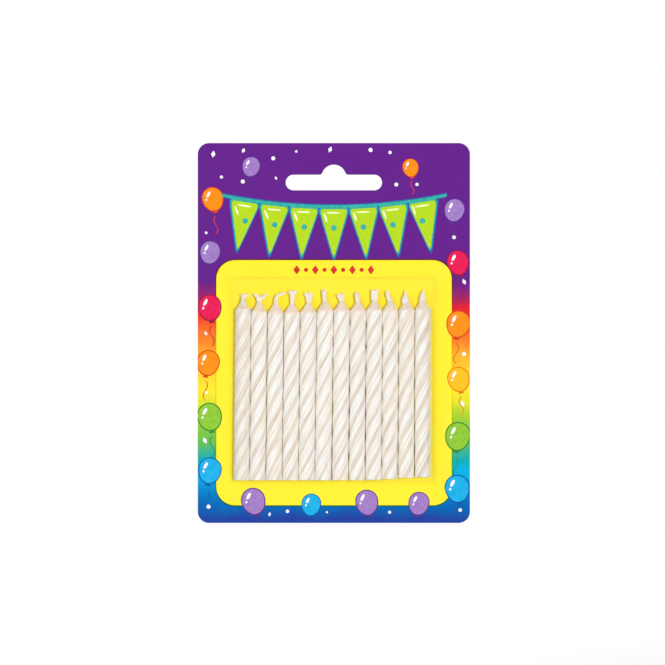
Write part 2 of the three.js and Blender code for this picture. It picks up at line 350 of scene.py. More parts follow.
# Pressed paraffin wax with a pearly white on its ribs: satin, and light sinks in and spreads
def paraffin():
    look = waxCandle
    material, add, place = newMaterial("pressed paraffin wax")
    straight = add("ShaderNodeAttribute", {"attribute_name": "straight"}).outputs["Vector"]
    lot = add("ShaderNodeAttribute", {"attribute_name": "lot"}).outputs["Fac"]
    spot = add("ShaderNodeSeparateXYZ", {}, {0: straight})
    flat = add("ShaderNodeCombineXYZ", {}, {"X": spot.outputs["X"], "Y": spot.outputs["Y"]})
    radius = add("ShaderNodeVectorMath", {"operation": "LENGTH"}, {0: flat})
    outer = look["radius"]
    rib = add("ShaderNodeMapRange", {"From Min": outer - look["grooveDepth"], "From Max": outer},
              {0: radius.outputs["Value"]})
    grain = add("ShaderNodeTexNoise", {"Scale": 1 / look["grain"], "Detail": 4}, {0: place})
    stray = look["ragged"]
    ragged = add("ShaderNodeMath", {"operation": "MULTIPLY_ADD", 1: stray, 2: -stray / 2}, {0: grain})
    ribs = add("ShaderNodeMath", {"operation": "ADD"}, {0: rib, 1: ragged})
    # white ribs and beige grooves, with a greyer band of painted shade at the edges of each groove
    tone = addRamp(add, ribs, [(0, look["grooveTone"]), (1, look["ribTone"]), (0.5, look["grooveTone"]),
                   (0.74, look["grooveEdgeShade"]), (0.93, look["ribTone"])])
    drawn = add("ShaderNodeMapping", {"Scale": (1, 1, look["streakStretch"])}, {0: straight})
    fine = {"noise_dimensions": "4D", "Scale": 1 / look["streak"], "Detail": 2}
    streaks = add("ShaderNodeTexNoise", fine, {0: drawn, "W": lot})
    shade = addRamp(add, streaks, [(0.34, look["streakTone"]), (0.56, "#ffffff")])
    darker = {"data_type": "RGBA", "blend_type": "MULTIPLY", 0: look["streakShare"]}
    colour = add("ShaderNodeMix", darker, {6: tone, 7: shade})
    stray = look["collarRagged"]
    uneven = add("ShaderNodeMath", {"operation": "MULTIPLY_ADD", 1: stray},
                 {0: grain, 2: spot.outputs["Z"]})
    whole, gone = (stray / 2 - below for below in look["collar"])
    fade = add("ShaderNodeMapRange", {"From Min": whole, "From Max": gone}, {0: uneven})
    topped = add("ShaderNodeMix", {"data_type": "RGBA", 7: linear(look["coneTone"])},
                 {0: fade, 6: colour.outputs[2]})
    least, most = look["satin"]
    rough = add("ShaderNodeMapRange", {"To Min": least, "To Max": most}, {0: grain})
    relief = add("ShaderNodeBump", {"Strength": 0.4, "Distance": look["grainDepth"]}, {"Height": grain})
    wax = {"IOR": 1.44, "Subsurface Weight": 1, "Subsurface Radius": (1, 0.8, 0.62),
           "Subsurface Scale": look["glow"], "Sheen Weight": look["bloom"], "Sheen Roughness": 0.6,
           "Sheen Tint": linear(look["bloomTone"])}
    setSurface(add, "ShaderNodeBsdfPrincipled", wax,
               {"Base Color": topped.outputs[2], "Roughness": rough, "Normal": relief})
    return material


cottonLook = {
    "fibre": 0.12 * mm,  # drawn coarser than real to show
    "fibreDepth": 0.03 * mm,
    "fibreTone": "#f8f0e8",
    "shadeTone": "#e8d5c8",
}


# Bleached cotton cord, twisted and dipped: matte fibres with a little wax left on them
def cottonCord():
    look = cottonLook
    material, add, place = newMaterial("twisted cotton cord")
    fibres = add("ShaderNodeTexNoise", {"Scale": 1 / look["fibre"], "Detail": 3}, {0: place})
    tint = addRamp(add, fibres, [(0.3, look["shadeTone"]), (0.6, look["fibreTone"])])
    relief = add("ShaderNodeBump", {"Strength": 0.6, "Distance": look["fibreDepth"]}, {"Height": fibres})
    fluff = {"Roughness": 0.8, "Sheen Weight": 1, "Sheen Roughness": 0.6}
    setSurface(add, "ShaderNodeBsdfPrincipled", fluff, {"Base Color": tint, "Normal": relief})
    return material


filmLook = {
    "clear": "#ffffff",
    "gloss": 0.4,  # of bare Fresnel, up to "most" and less "squareOn": it stays clear from the front
    "most": 0.3,
    "squareOn": 0.03,
    "roughness": 0.05,
    "ripple": 11 * mm,
    "rippleDepth": 0.3 * mm,
}


# Thermoformed PET film: clear as glass, seen only by faint reflections that its slow ripples bend
def clearFilm():
    look = filmLook
    material, add, place = newMaterial("thermoformed clear PET film")
    ripple = add("ShaderNodeTexNoise", {"Scale": 1 / look["ripple"], "Detail": 1}, {0: place})
    relief = add("ShaderNodeBump", {"Strength": 0.3, "Distance": look["rippleDepth"]}, {"Height": ripple})
    share = add("ShaderNodeFresnel", {"IOR": 1.57}, {"Normal": relief})
    for operation, value in (("MINIMUM", "most"), ("SUBTRACT", "squareOn"), ("MULTIPLY", "gloss")):
        share = add("ShaderNodeMath", {"operation": operation, 1: look[value]}, {0: share})
    through = add("ShaderNodeBsdfTransparent", {"Color": linear(look["clear"])})
    gloss = add("ShaderNodeBsdfGlossy", {"Roughness": look["roughness"]}, {"Normal": relief})
    setSurface(add, "ShaderNodeMixShader", {}, {0: share, 1: through, 2: gloss})
    return material


# Camera, light and floor

cameraLook = {
    "lens": 200,  # mm on a 36 mm sensor: long, so no side wall shows, as in the photograph
    "sensor": 36,
    "photoSide": 665,  # pixels
    "cardPixel": (333.85, 333),  # the card's middle in the photograph
    "pixel": 0.3343 * mm,  # of the card's face for each pixel
}


def setCamera():
    look = cameraLook
    camera = bpy.data.cameras.new("camera")
    camera.lens = look["lens"]
    camera.sensor_width = look["sensor"]
    camera.clip_start, camera.clip_end = 0.05, 20
    holder = newObject("camera", camera)
    side = look["photoSide"] * look["pixel"]
    away = side / 2 / (look["sensor"] / 2 / look["lens"])
    middle = look["photoSide"] / 2
    aside = (middle - look["cardPixel"][0]) * look["pixel"]
    up = (look["cardPixel"][1] - middle) * look["pixel"]
    holder.location = (aside, cardFront - away, cardMiddle + up)
    holder.rotation_euler = (math.radians(90), 0, 0)
    bpy.context.scene.camera = holder


lampLook = {
    "world": 0.14,  # strength of the even light from all round
    # size in m, place from the card's middle, power in W, and whether gloss mirrors it: the small key
    # stands to the right for the narrow shadows beside the cones, and a softer one to the left fills them
    "lamps": {
        "key lamp": (0.1, (0.22, -1.05, 0.02), 6.2, False),
        "fill lamp": (0.6, (-0.45, -1, 0.3), 3.25, True),
        "back lamp": (0.9, (-0.5, 0.9, 0.5), 10, True),
    },
}


def addLamp(name, size, place, power, mirrored):
    lamp = bpy.data.lights.new(name, "AREA")
    lamp.size = size
    lamp.energy = power
    holder = newObject(name, lamp)
    middle = Vector((0, 0, cardMiddle))
    holder.location = Vector(place) + middle
    aim = middle - holder.location
    holder.rotation_euler = aim.to_track_quat("-Z", "Y").to_euler()
    holder.visible_glossy = mirrored


# White where the camera, gloss or clear film looks past the object, and an even light elsewhere
def addSeenWhite(add):
    path = add("ShaderNodeLightPath")
    seen = path.outputs["Is Camera Ray"]
    for ray in ("Is Glossy Ray", "Is Transmission Ray"):
        seen = add("ShaderNodeMath", {"operation": "MAXIMUM"}, {0: seen, 1: path.outputs[ray]})
    return seen


def setLight():
    look = lampLook
    world = bpy.data.worlds.new("white studio")
    bpy.context.scene.world = world
    add = startNodes(world)
    even = add("ShaderNodeBackground", {"Color": (1, 1, 1, 1), "Strength": look["world"]})
    white = add("ShaderNodeBackground", {"Color": (1, 1, 1, 1), "Strength": 1})
    mix = add("ShaderNodeMixShader", {}, {0: addSeenWhite(add), 1: even, 2: white})
    add("ShaderNodeOutputWorld", {}, {"Surface": mix})
    for name, lamp in look["lamps"].items():
        addLamp(name, *lamp)
    bpy.context.scene.view_settings.view_transform = "Standard"


floorLook = {
    "size": 8,
    "below": 75 * mm,  # the card's lower edge
    "paint": (0.9, 0.9, 0.9, 1),
    "near": 0.25,  # within this distance the floor shows its light and shadow, and beyond "far" it is white
    "far": 0.9,
    "lift": 0.42,  # added to what the lamps give the near floor, so that it shows white
}


def setFloor():
    look = floorLook
    floor = addForm(bpy.ops.mesh.primitive_plane_add, size=look["size"],
                    location=(0, 0, cardLow.z - look["below"]))
    floor.name = "floor"
    material, add, place = newMaterial("white studio floor")
    away = add("ShaderNodeVectorMath", {"operation": "LENGTH"}, {0: place}).outputs["Value"]
    soft = {"interpolation_type": "SMOOTHSTEP", "From Min": look["near"], "From Max": look["far"]}
    faded = add("ShaderNodeMapRange", soft, {0: away})
    paint = add("ShaderNodeBsdfDiffuse", {"Color": look["paint"]})
    lift = add("ShaderNodeEmission", {"Color": (1, 1, 1, 1), "Strength": look["lift"]})
    white = add("ShaderNodeEmission", {"Color": (1, 1, 1, 1), "Strength": 1})
    lit = add("ShaderNodeAddShader", {}, {0: paint, 1: lift})
    shown = add("ShaderNodeMixShader", {}, {0: faded, 1: lit, 2: white})
    setSurface(add, "ShaderNodeMixShader", {}, {0: addSeenWhite(add), 1: paint, 2: shown})
    floor.data.materials.append(material)


# Card

cardLook = {
    "softEdge": 0.06 * mm,
    "corner": 3.8 * mm,
    "back": ("#e9e5dd", "#cfc9bd"),  # the bare board and its flecks
    "cutEdge": ("#f2efe8", "#d8d2c6"),
}


def makeCard():
    look = cardLook
    piece = softCopy("hang_card", look["softEdge"], 50, 40)
    sides = [rainbowPrint("offset printed coated board"), bareBoard("uncoated board back", *look["back"]),
             bareBoard("die-cut board edge", *look["cutEdge"])]
    finishPiece(piece, "printedHangCard", "card_pack", "printed_board", sides, "hang_card")
    for face in piece.data.polygons:
        face.material_index = 0 if face.normal.y < -0.5 else 1 if face.normal.y > 0.5 else 2


# Ink shapes: flat outlines in the plane of the card, each a film of ink on the layer below

inkLayer = 0.03 * mm
inkPieces = {}


# Lays a shape drawn in XY on the card: x and z from the card's middle, its top turned by tilt to the right
def layDown(piece, ink, layer, x, z, width, height, tilt=0):
    takeUp(piece)
    piece.scale = (width, height, 1)
    piece.rotation_euler = (math.radians(90), math.radians(tilt), 0)
    piece.location = (x, cardFront - layer * inkLayer, cardMiddle + z)
    settle()
    inkPieces.setdefault(ink, []).append(piece)


def unitDisc(points):
    return addForm(bpy.ops.mesh.primitive_circle_add, vertices=points, radius=0.5, fill_type="NGON")


# A disc of width 1 whose lower half is drawn out, as a filled balloon's is
def unitEgg(drop):
    piece = unitDisc(40)
    resizeCorners(piece, lambda co: co.y < -tiny, (1, drop, 1))
    return piece


# A three-cornered flag of width 1 and height 1, hung from its top edge, with rounded corners
def unitFlag():
    piece = addForm(bpy.ops.mesh.primitive_circle_add, vertices=3, radius=1 / math.sqrt(3),
                    fill_type="NGON", rotation=(0, 0, math.pi))
    settle()
    heights = [corner.co.y for corner in piece.data.vertices]
    top = max(heights)
    openEdit(piece, "VERT", everything)
    bpy.ops.transform.translate(value=(0, -top, 0))
    bpy.ops.transform.resize(value=(1, 1 / (top - min(heights)), 1), center_override=(0, 0, 0))
    closeEdit()
    roundOff(piece, "VERT", everything, 0.12, 6)
    return piece


def unitDiamond():
    piece = unitDisc(4)
    roundOff(piece, "VERT", everything, 0.06, 3)
    return piece


# A flat ribbon through points (x and z from the card's middle): an edge extruded from each to the next
def layRibbon(points, width, ink, layer, upright=False):
    piece = addForm(bpy.ops.mesh.primitive_plane_add, size=1)
    openEdit(piece, "VERT", lambda co: (co.x if upright else co.y) < 0)
    bpy.ops.mesh.delete(type="VERT")
    bpy.ops.mesh.select_all(action="SELECT")
    bpy.ops.transform.translate(value=(-0.5, 0, 0) if upright else (0, -0.5, 0))
    bpy.ops.transform.resize(value=(width, width, 1), center_override=(0, 0, 0))
    bpy.ops.transform.translate(value=(*points[0], 0))
    for (x, z), (nextX, nextZ) in zip(points, points[1:]):
        bpy.ops.mesh.extrude_region_move(TRANSFORM_OT_translate={"value": (nextX - x, nextZ - z, 0)})
    closeEdit()
    if piece.data.polygons[0].normal.z < 0:
        openEdit(piece, "FACE", everything)
        bpy.ops.mesh.flip_normals()
        closeEdit()
    layDown(piece, ink, layer, 0, 0, 1, 1)


balloonLook = {
    "rim": 1.1,  # outline's size beside the balloon's
    "drop": 1.3,  # its lower half's length beside its upper one's
    "stringWidth": 0.3 * mm,
    "stringSteps": 8,
    # beside the balloon's width
    "knot": (0.3, 0.24),
    "knotAway": 1.12,  # from its middle, beside the lower half's length
    "knotDip": 0.06,
    "stringDip": 0.2,
    "stringLength": 0.95,
    "stringSwing": 0.11,
    # points of the disc, x and z from the balloon's middle, width and height, and its tilt in degrees
    "gleams": [(28, -0.2, 0.17, 0.14, 0.34, 28), (20, -0.3, -0.1, 0.09, 0.12, 10)],
    # in mm and degrees: x and z from the card's middle, width, tilt, and the ink
    "border": [
        (-40.6, 45.2, 6.6, -14, "orange"), (-27.6, 56, 5.6, 12, "lilac"), (25.6, 55.6, 5, -10, "orange"),
        (40.4, 41.5, 6.4, 12, "lilac"), (-41.3, 27.4, 6.4, 10, "lilac"), (41.4, 24, 6.8, -12, "crimson"),
        (-41.5, 9, 7.2, -8, "crimson"), (41.7, 3.5, 7.4, 9, "orange"), (-41.9, -9.5, 7, 12, "orange"),
        (41.6, -15, 6.8, -12, "amber"), (-41.6, -27.5, 7.6, -10, "green"), (41.5, -34, 7.8, 8, "green"),
        (-41.4, -45.5, 7.2, 9, "sky"), (41.2, -51.5, 7.6, -9, "sky"), (-27, -55.8, 7.4, -16, "lilac"),
        (-7.5, -57, 6, 10, "sky"), (11, -56.2, 7, -8, "lilac"), (28.5, -56.6, 6.4, 14, "lilac")],
}


def printBalloon(x, z, width, tilt, ink):
    look = balloonLook
    x, z, width = x * mm, z * mm, width * mm
    rim = width * look["rim"]
    outline = ink + "Rim"
    layDown(unitEgg(look["drop"]), outline, 2, x, z, rim, rim, tilt)
    layDown(unitEgg(look["drop"]), ink, 3, x, z, width, width, tilt)
    turn = math.radians(tilt)
    below = width * look["drop"] / 2 * look["knotAway"]
    knotX, knotZ = x - below * math.sin(turn), z - below * math.cos(turn)
    wide, high = look["knot"]
    layDown(unitFlag(), outline, 1.5, knotX, knotZ - look["knotDip"] * width, wide * width,
            -high * width, tilt)
    top = knotZ - look["stringDip"] * width
    string = []
    for step in range(look["stringSteps"] + 1):
        share = step / look["stringSteps"]
        swing = look["stringSwing"] * width * math.sin(2 * math.pi * share) * (1 if tilt > 0 else -1)
        string.append((knotX + swing, top - share * look["stringLength"] * width))
    layRibbon(string, look["stringWidth"], outline, 1.5)
    for points, right, up, wide, high, turned in look["gleams"]:
        layDown(unitDisc(points), "white", 4, x + right * width, z + up * width, wide * width,
                high * width, turned)


buntingLook = {
    "flags": 7,
    "width": 9.4 * mm,
    "height": 16.5 * mm,
    "reach": 34.6 * mm,  # of its cord to each side of the card's middle
    "up": 44.6 * mm,
    "sag": 3.2 * mm,
    "cordWidth": 0.9 * mm,
    "cordRim": 0.7 * mm,
    "cordEnds": (-0.045, 1.045),  # shares of the way
    "cordSteps": 24,
    "rims": [("deepBlue", 1, 2.1 * mm), ("teal", 2, 1.1 * mm)],  # ink, layer and how far it shows round
    "rimUp": 0.55,  # of a rim's reach, how much lies above the flag
    "rimTaller": 1.5,
    # on a flag, beside its width or height: x and z from its hanging point, width and height
    "gleam": (-0.3, -0.17, 0.07, 0.2),
    "gleamTilt": -20,
    "stripe": (-0.02, -0.075, 0.5, 0.035),
    "dot": (-0.38, 0.2),  # its z and width
}


# The place of the bunting's cord at a share of the way along it
def swag(share):
    look = buntingLook
    return (2 * share - 1) * look["reach"], look["up"] - 4 * look["sag"] * share * (1 - share)


def printBunting():
    look = buntingLook
    first, last = look["cordEnds"]
    steps = look["cordSteps"]
    cord = [swag(first + (last - first) * step / steps) for step in range(steps + 1)]
    cord = [(x, z + look["cordWidth"]) for x, z in cord]
    layRibbon(cord, look["cordWidth"] + look["cordRim"], "deepBlue", 1.5, upright=True)
    layRibbon(cord, look["cordWidth"], "teal", 2.5, upright=True)
    width, height = look["width"], look["height"]
    for number in range(look["flags"]):
        share = (number + 0.5) / look["flags"]
        x, z = swag(share)
        ahead, behind = swag(share + 0.02), swag(share - 0.02)
        slope = math.degrees(math.atan2(ahead[1] - behind[1], ahead[0] - behind[0]))
        for ink, layer, beyond in look["rims"]:
            layDown(unitFlag(), ink, layer, x, z + beyond * look["rimUp"], width + beyond,
                    height + look["rimTaller"] * beyond, -slope)
        layDown(unitFlag(), "lime", 3, x, z, width, height, -slope)
        for mark, tilt in (("gleam", look["gleamTilt"]), ("stripe", -slope)):
            right, up, wide, high = look[mark]
            layDown(unitDisc(28), "cream", 4, x + right * width, z + up * height, wide * width,
                    high * height, tilt)
        up, wide = look["dot"]
        layDown(unitDisc(24), "teal", 4, x, z + up * height, wide * width, wide * width)


confettiLook = {
    "count": 26,
    "seed": 11,
    "tall": 1.6,  # a diamond's height beside its width
    "tilt": 30,  # degrees
    # in mm
    "size": (0.7, 1.5),
    "apart": 5.5,
    "room": 1.4,  # between a piece and the balloons
    "within": (44, 62),  # to each side of the card's middle, and up and down
    # boxes that stay free of it, as x from and to, z from and to: panel, bunting, slot and the bare corner
    "free": [(-41, 41, -59.5, 26), (-39, 39, 22, 49), (-19, 19, 44, 60), (29, 45, 46, 63)],
}


# White dots and diamonds in the purple and rainbow areas, clear of the slot, panel, bunting and balloons
def printConfetti():
    look = confettiLook
    dice = random.Random(look["seed"])
    aside, up = look["within"]
    taken = [(x, z, 0.75 * width) for x, z, width, _, _ in balloonLook["border"]]
    made = 0
    while made < look["count"]:
        x, z = dice.uniform(-aside, aside), dice.uniform(-up, up)
        inside = any(left < x < right and low < z < high for left, right, low, high in look["free"])
        close = any(math.hypot(x - a, z - b) < far + look["room"] for a, b, far in taken)
        if inside or close:
            dice.random()
            continue
        size = dice.uniform(*look["size"]) * mm
        diamond = made % 3 == 0
        layDown(unitDiamond() if diamond else unitDisc(20), "white", 2, x * mm, z * mm, size,
                size * (look["tall"] if diamond else 1), dice.uniform(-look["tilt"], look["tilt"]))
        taken.append((x, z, look["apart"] - look["room"]))
        made += 1


panelLook = {
    "left": -39.3 * mm,
    "right": 39.4 * mm,
    "top": 24.35 * mm,
    "low": -57.6 * mm,
    "corner": 6.3 * mm,
    "trap": 0.38 * mm,  # how far its yellow overprints the sheet's colours, where they darken each other
    "marks": 9,
    "markPitch": 3.1 * mm,
    "markHeight": 21.1 * mm,
    "markSize": 2.3 * mm,
    "dot": 0.6,  # a dot's width and a diamond's height beside the mark's size
    "diamond": 1.35,
}


def printPanel():
    look = panelLook
    middle = (look["left"] + look["right"]) / 2, (look["top"] + look["low"]) / 2
    for ink, layer, beyond in (("trap", 0.5, look["trap"]), ("yellow", 1, 0)):
        piece = addForm(bpy.ops.mesh.primitive_plane_add, size=1)
        piece.scale = (look["right"] - look["left"] + 2 * beyond, look["top"] - look["low"] + 2 * beyond, 1)
        settle()
        roundOff(piece, "VERT", everything, look["corner"] + beyond, 14)
        layDown(piece, ink, layer, *middle, 1, 1)
    for number in range(look["marks"]):
        x = (number - (look["marks"] - 1) / 2) * look["markPitch"]
        size = look["markSize"]
        dot = look["dot"] * size
        if number % 2:
            layDown(unitDisc(24), "red", 2, x, look["markHeight"], dot, dot)
        else:
            layDown(unitDiamond(), "red", 2, x, look["markHeight"], size, look["diamond"] * size)


# A block in the card's outline, to trim the motifs that run over its edge
def makeTrimmer():
    piece = addForm(bpy.ops.mesh.primitive_cube_add, size=1)
    depth = 40 * inkLayer  # well past the topmost ink
    piece.scale = (cardHigh.x - cardLow.x, depth, cardHigh.z - cardLow.z)
    piece.location = (0, cardFront, cardMiddle)
    settle()
    roundOff(piece, "EDGE", lambda a, b: abs(a.y - b.y) > depth / 2, cardLook["corner"], 12)
    return piece


inkColours = {
    "yellow": ("#feec38", "#fdea34"), "red": ("#d5352c", "#cb2d27"), "white": ("#ffffff", "#f6f2fa"),
    "lime": ("#b7da26", "#b2d624"), "teal": ("#3fb6a4", "#2fa59b"), "deepBlue": ("#2a66b0", "#2458a2"),
    "cream": ("#fbfbd8", "#f2f6b8"),
    "lilac": ("#a583c6", "#9a76bd"), "lilacRim": ("#5a3590", "#522f86"),
    "orange": ("#f8941e", "#f48a1a"), "orangeRim": ("#e0451f", "#d63d1d"),
    "crimson": ("#e8235a", "#dd1d50"), "crimsonRim": ("#9a1f4c", "#8e1b45"),
    "amber": ("#fbc52a", "#f8bb22"), "amberRim": ("#e8821c", "#de7818"),
    "green": ("#93ca3e", "#87c038"), "greenRim": ("#3d8b3c", "#347f36"),
    "sky": ("#25b4ea", "#1ca6df"), "skyRim": ("#1560ad", "#11549e"),
}


def makePrint():
    printPanel()
    for balloon in balloonLook["border"]:
        printBalloon(*balloon)
    printBunting()
    printConfetti()
    trimmer = makeTrimmer()
    for ink, shapes in inkPieces.items():
        piece = joinPieces(shapes)
        applyModifier(piece, "SOLIDIFY", {"thickness": inkLayer, "offset": -1})
        if ink not in ("trap", "yellow"):
            applyModifier(piece, "BOOLEAN", {"operation": "INTERSECT", "object": trimmer,
                          "solver": "EXACT", "use_self": True})
        if ink == "trap":
            material = rainbowPrint("offset overprint", inkColours["yellow"][0])
        else:
            material = offsetInk("offset ink " + ink, *inkColours[ink])
        finishPiece(piece, "ink_" + ink, "card_pack", "printed_board", [material])
    bpy.data.objects.remove(trimmer)


# Cover

coverLook = {"softEdge": 0.11 * mm}


def makeCover():
    piece = softCopy("blister_cover", coverLook["softEdge"], 35, 50)
    finishPiece(piece, "clearCover", "card_pack", "clear_film", [clearFilm()], "blister_cover")


# Candles

def fromAxis(co):
    return math.hypot(co.x, co.y)


# How far a point of the outline is, as an angle, from the middle of the nearest groove
def fromGroove(co):
    period = 2 * math.pi / waxCandle["ribs"]
    return abs((math.atan2(co.y, co.x) / period) % 1 - 0.5) * period


# Sets the radius of one ring of the stick, by each point's angle from its groove
def sizeRing(piece, height, radiusAt):
    step = 2 * math.pi / waxCandle["ribs"] / waxCandle["pointsPerRib"]
    for away in range(waxCandle["pointsPerRib"] // 2 + 1):
        def near(co):
            return abs(co.z - height) < tiny and abs(fromGroove(co) - away * step) < step / 3

        now = next(fromAxis(corner.co) for corner in piece.data.vertices if near(corner.co))
        scale = radiusAt(away * step) / now
        resizeCorners(piece, near, (scale, scale, 1))


def outlineRadius(away):
    look = waxCandle
    halfGroove = (1 - look["ribShare"]) * math.pi / look["ribs"]
    into = math.cos(min(away / halfGroove, 1) * math.pi / 2) ** 2
    return look["radius"] - look["grooveDepth"] * into


def makeWaxMaster():
    look = waxCandle
    piece = addForm(bpy.ops.mesh.primitive_circle_add, vertices=look["ribs"] * look["pointsPerRib"],
                    radius=look["radius"], fill_type="NGON")
    sizeRing(piece, 0, outlineRadius)
    shoulder = look["bodyHeight"]
    rim = shoulder - look["shoulderFall"]
    openEdit(piece, "FACE", everything)
    bpy.ops.mesh.extrude_region_move(TRANSFORM_OT_translate={"value": (0, 0, rim)})
    closeEdit()
    openEdit(piece, "EDGE", lambda a, b: abs(a.z - b.z) > shoulder / 2)
    bpy.ops.mesh.subdivide(number_cuts=look["rings"])
    closeEdit()

    # the slope from the ribs' ends up to the cone's foot, then the cone and the mouth of the bore
    def isTop(centre, normal):
        return normal.z > 0.9 and centre.z > rim - tiny

    def raiseTop(up, scale):
        openEdit(piece, "FACE", isTop)
        bpy.ops.mesh.extrude_region_move(TRANSFORM_OT_translate={"value": (0, 0, up)})
        bpy.ops.transform.resize(value=(scale, scale, 1), center_override=(0, 0, 0))
        closeEdit()

    height = look["coneLift"]
    raiseTop(shoulder + height - rim, 0.9)
    sizeRing(piece, shoulder + height, lambda away: look["coneFoot"])
    radius = look["coneFoot"]
    for up, wanted in look["cone"] + [(look["cone"][-1][0], look["bore"])]:
        raiseTop(up - height, wanted / radius)
        radius, height = wanted, up

    # the bore's mouth in the foot
    openEdit(piece, "FACE", lambda centre, normal: normal.z < -0.9)
    bpy.ops.mesh.inset(thickness=look["radius"] - look["bore"] - look["grooveDepth"] / 2, depth=0)
    closeEdit()
    for corner in piece.data.vertices:
        if abs(corner.co.z) < tiny and fromAxis(corner.co) < look["radius"] / 2:
            scale = look["bore"] / fromAxis(corner.co)
            corner.co.x *= scale
            corner.co.y *= scale

    for level, offset in ((0, look["footEdge"]), (rim, look["shoulderEdge"])):
        def onRim(a, b):
            outer = min(fromAxis(a), fromAxis(b)) > look["coneFoot"]
            return outer and max(abs(a.z - level), abs(b.z - level)) < tiny

        roundOff(piece, "EDGE", onRim, offset, 3)

    # through the bore, from its mouth in the foot to its mouth in the cone
    openEdit(piece, "FACE", lambda centre, normal: abs(normal.z) > 0.9 and fromAxis(centre) < tiny)
    bpy.ops.mesh.delete(type="FACE")
    closeEdit()

    def onBore(a, b):
        return abs(a.z - b.z) < tiny and max(fromAxis(a), fromAxis(b)) < look["bore"] + tiny

    openEdit(piece, "EDGE", onBore)
    bpy.ops.mesh.bridge_edge_loops()
    closeEdit()
    smoothBelow(piece, 40)
    return piece


row = {
    "firstFoot": -30.69 * mm,  # X of the first candle's axis at its foot
    "pitch": 5.4764 * mm,
    "axis": -3.4 * mm,  # Y of every axis
    "foot": -99.3126 * mm,  # Z of a foot that stands on the bottom of the pocket's clearance
    # each candle, from left to right, in mm and degrees: how far its foot stands right of its even place,
    # its lean to the right, how far it has slid up, how much longer it is cut, the turn of its ribs, its
    # radius, and the width of its cone beside the usual one
    "candles": [
        (-0.11, 0.52, 0, 0.9, -30, 2.64, 0.84),
        (-0.23, 0.55, 0, 0, 0, 2.69, 0.92),
        (-0.23, 0.58, 0, -0.35, -19, 2.7, 1),
        (-0.31, 0.67, 0, -0.4, 28, 2.67, 1),
        (-0.36, 0.72, 0, -0.2, -28, 2.73, 1),
        (-0.3, 0.73, 0, 0.3, 10, 2.77, 1),
        (-0.08, 0.57, 0, 0.3, 39, 2.74, 1),
        (0.03, 0.42, 0, 0.25, 42, 2.68, 1),
        (0.07, 0.34, 0.15, 0.35, -32, 2.7, 1),
        (0.01, 0.33, 0.4, 0, -5, 2.68, 1),
        (0.01, 0.23, 0.75, -0.2, 30, 2.67, 0.94),
        (0.03, 0.09, 0.95, -0.1, 17, 2.66, 0.96)],
}


# From a candle's own upright axis at its foot to its place in the pack
def candlePlace(number):
    aside, lean, lift = row["candles"][number][:3]
    x = row["firstFoot"] + number * row["pitch"] + aside * mm
    foot = Vector((x, row["axis"], row["foot"] + lift * mm))
    return Matrix.Translation(foot) @ Matrix.Rotation(math.radians(lean), 4, "Y")


def makeWaxCandles(material):
    look = waxCandle
    low, high, within = look["coneReach"]
    master = makeWaxMaster()
    for number in range(candleCount):
        longer, turn, radius, coneWidth = row["candles"][number][3:]
        label = f"{number + 1:02d}"
        radius *= mm
        shoulder = look["bodyHeight"] + longer * mm
        piece = newObject("waxStick", master.data.copy())
        thicker = radius / look["radius"]
        resizeCorners(piece, everything, (thicker, thicker, shoulder / look["bodyHeight"]))
        resizeCorners(piece, lambda co: low < co.z - shoulder < high and fromAxis(co) < within * radius,
                      (coneWidth, coneWidth, 1))
        corners = [corner.co.copy() for corner in piece.data.vertices]

        # where each point was before the twist, from the axis at the body's height: the streaks follow it
        straight = piece.data.attributes.new("straight", "FLOAT_VECTOR", "POINT")
        straight.data.foreach_set("vector", [c for co in corners for c in (co.x, co.y, co.z - shoulder)])
        lot = piece.data.attributes.new("lot", "FLOAT", "POINT")
        lot.data.foreach_set("value", [look["lotStep"] * number] * len(corners))
        whole = max(co.z for co in corners)
        applyModifier(piece, "SIMPLE_DEFORM", {"deform_method": "TWIST", "deform_axis": "Z",
                      "angle": 2 * math.pi * whole / look["lead"]})
        piece.data.transform(candlePlace(number) @ Matrix.Rotation(math.radians(turn), 4, "Z"))
        finishPiece(piece, "waxStick_" + label, "candle_" + label, "candle_wax", [material],
                    "candle_wax_" + label)
    bpy.data.objects.remove(master)


# Wicks

